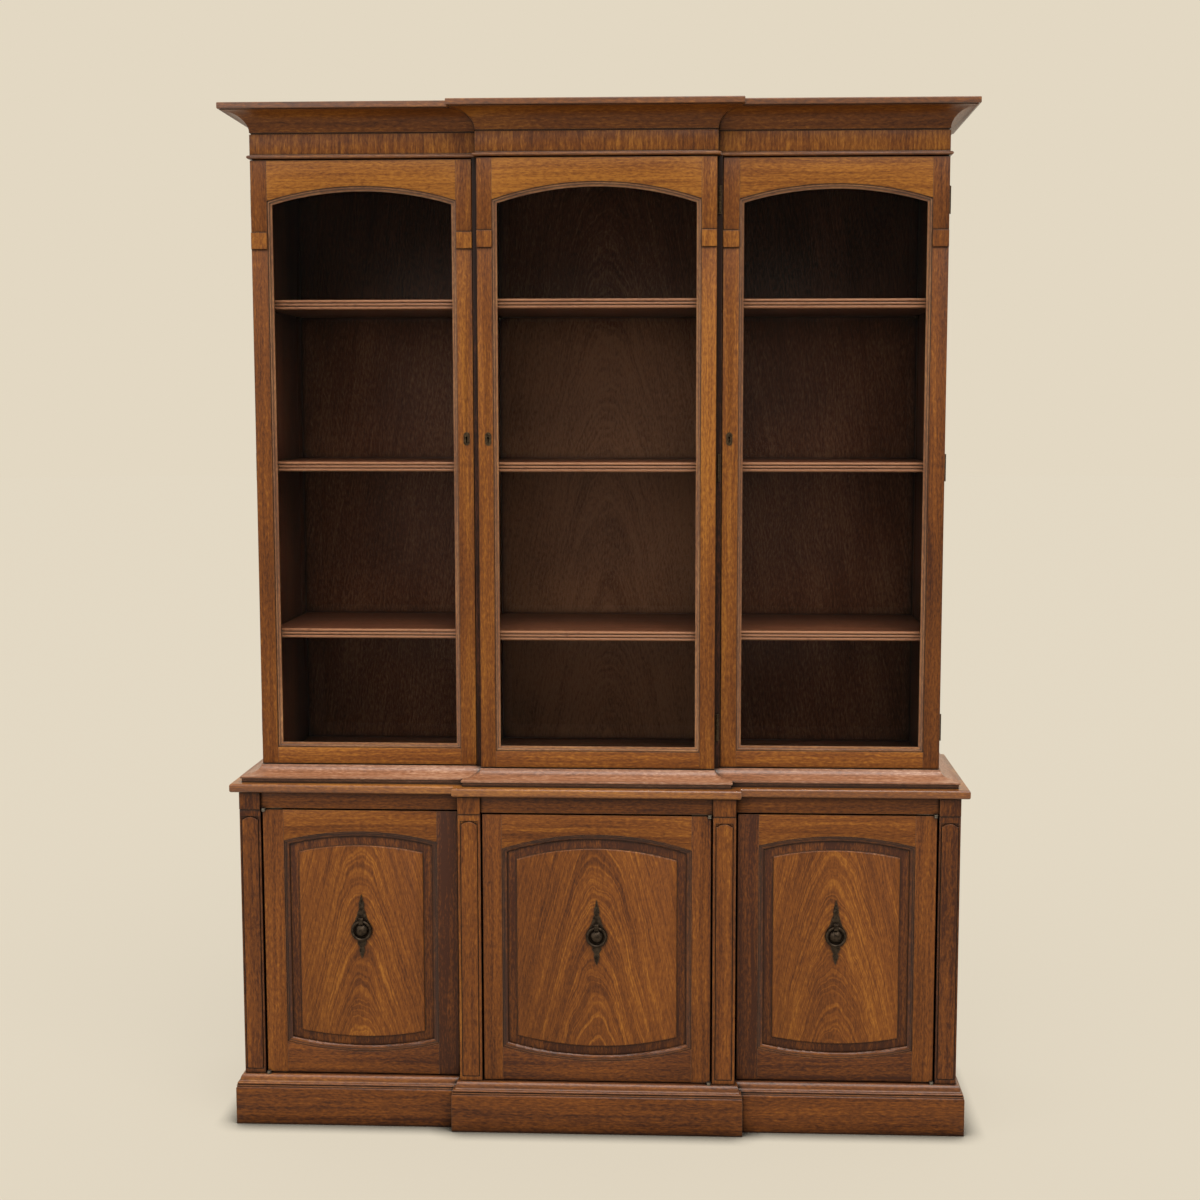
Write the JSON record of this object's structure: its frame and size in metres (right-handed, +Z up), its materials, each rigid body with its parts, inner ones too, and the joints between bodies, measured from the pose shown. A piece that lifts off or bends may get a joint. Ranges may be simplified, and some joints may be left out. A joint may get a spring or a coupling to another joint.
{
  "type": "hutch",
  "caption": "Breakfront wooden hutch with arched glass doors over panelled cupboards, moulded cornice, pilasters and ring handles",
  "frame": {"origin": "middle of the plinth's underside, at the bottom centre of the whole hutch", "axes": "+Z up, the front faces -Y, +X to the right seen from the front"},
  "size_m": [1.5068, 0.4098, 2.083],
  "materials": {
    "wood": "satin varnish",
    "veneer": "satin varnish over figured veneer",
    "glass": "clear",
    "bronze": "dark aged bronze",
    "brass": "dull brass",
    "steel": "plain"
  },
  "bodies": {
    "root": {"base_back": "veneer", "base_ends": "wood", "base_floor": "wood", "base_partitions": "wood", "base_rails": "wood", "base_shelves": "wood", "case_hinge_leaves": "brass", "case_knife_leaves": "brass", "cornice_cove": "wood", "cornice_top": "wood", "frieze_bead": "wood", "frieze_boards": "veneer", "joining_screws": "steel", "pilasters": "wood", "plinth_boards": "wood", "plinth_moulding": "wood", "shelf_pins": "brass", "shelves_centre": "wood", "shelves_left": "wood", "shelves_right": "wood", "upper_back": "veneer", "upper_ends": "wood", "upper_floor": "wood", "upper_partitions": "wood", "upper_top": "wood", "waist_moulding": "wood", "waist_slab": "wood"},
    "door_left": {"door_left_frame": "wood", "door_left_glass": "glass", "door_left_hinges": "brass", "door_left_lock": "brass", "door_left_mouldings": "wood"},
    "bolt_left": {"door_left_bolt": "brass"},
    "cupboard_left": {"cupboard_left_frame": "wood", "cupboard_left_handle": "bronze", "cupboard_left_knife_leaves": "brass", "cupboard_left_panel": "veneer"},
    "ring_left": {"cupboard_left_ring": "bronze"},
    "door_centre": {"door_centre_frame": "wood", "door_centre_glass": "glass", "door_centre_hinges": "brass", "door_centre_lock": "brass", "door_centre_mouldings": "wood"},
    "bolt_centre": {"door_centre_bolt": "brass"},
    "cupboard_centre": {"cupboard_centre_frame": "wood", "cupboard_centre_handle": "bronze", "cupboard_centre_knife_leaves": "brass", "cupboard_centre_panel": "veneer"},
    "ring_centre": {"cupboard_centre_ring": "bronze"},
    "door_right": {"door_right_frame": "wood", "door_right_glass": "glass", "door_right_hinges": "brass", "door_right_lock": "brass", "door_right_mouldings": "wood"},
    "bolt_right": {"door_right_bolt": "brass"},
    "cupboard_right": {"cupboard_right_frame": "wood", "cupboard_right_handle": "bronze", "cupboard_right_knife_leaves": "brass", "cupboard_right_panel": "veneer"},
    "ring_right": {"cupboard_right_ring": "bronze"}
  },
  "joints": [
    {"name": "door_left_swing", "type": "hinge", "parent": "root", "child": "door_left", "pos_m": [-0.6989, -0.10485, 1.3655], "axis": [0, 0, -1], "range_deg": [0, 180]},
    {"name": "door_centre_swing", "type": "hinge", "parent": "root", "child": "door_centre", "pos_m": [0.2435, -0.13065, 1.3655], "axis": [0, 0, 1], "range_deg": [0, 105]},
    {"name": "door_right_swing", "type": "hinge", "parent": "root", "child": "door_right", "pos_m": [0.6989, -0.10485, 1.3655], "axis": [0, 0, 1], "range_deg": [0, 180]},
    {"name": "cupboard_left_swing", "type": "hinge", "parent": "root", "child": "cupboard_left", "pos_m": [-0.6869, -0.1656, 0.385], "axis": [0, 0, -1], "range_deg": [0, 110]},
    {"name": "cupboard_centre_swing", "type": "hinge", "parent": "root", "child": "cupboard_centre", "pos_m": [0.2297, -0.1891, 0.385], "axis": [0, 0, 1], "range_deg": [0, 110]},
    {"name": "cupboard_right_swing", "type": "hinge", "parent": "root", "child": "cupboard_right", "pos_m": [0.6869, -0.1656, 0.385], "axis": [0, 0, 1], "range_deg": [0, 110]},
    {"name": "ring_left_lift", "type": "hinge", "parent": "cupboard_left", "child": "ring_left", "pos_m": [-0.48835, -0.1646, 0.42975], "axis": [-1, 0, 0], "range_deg": [0, 100]},
    {"name": "ring_centre_lift", "type": "hinge", "parent": "cupboard_centre", "child": "ring_centre", "pos_m": [0, -0.1881, 0.42975], "axis": [-1, 0, 0], "range_deg": [0, 100]},
    {"name": "ring_right_lift", "type": "hinge", "parent": "cupboard_right", "child": "ring_right", "pos_m": [0.48835, -0.1646, 0.42975], "axis": [-1, 0, 0], "range_deg": [0, 100]},
    {"name": "bolt_left_throw", "type": "slide", "parent": "door_left", "child": "bolt_left", "axis": [1, 0, 0], "range_m": [0, 0.007]},
    {"name": "bolt_centre_throw", "type": "slide", "parent": "door_centre", "child": "bolt_centre", "axis": [-1, 0, 0], "range_m": [0, 0.007]},
    {"name": "bolt_right_throw", "type": "slide", "parent": "door_right", "child": "bolt_right", "axis": [-1, 0, 0], "range_m": [0, 0.007]}
  ]
}
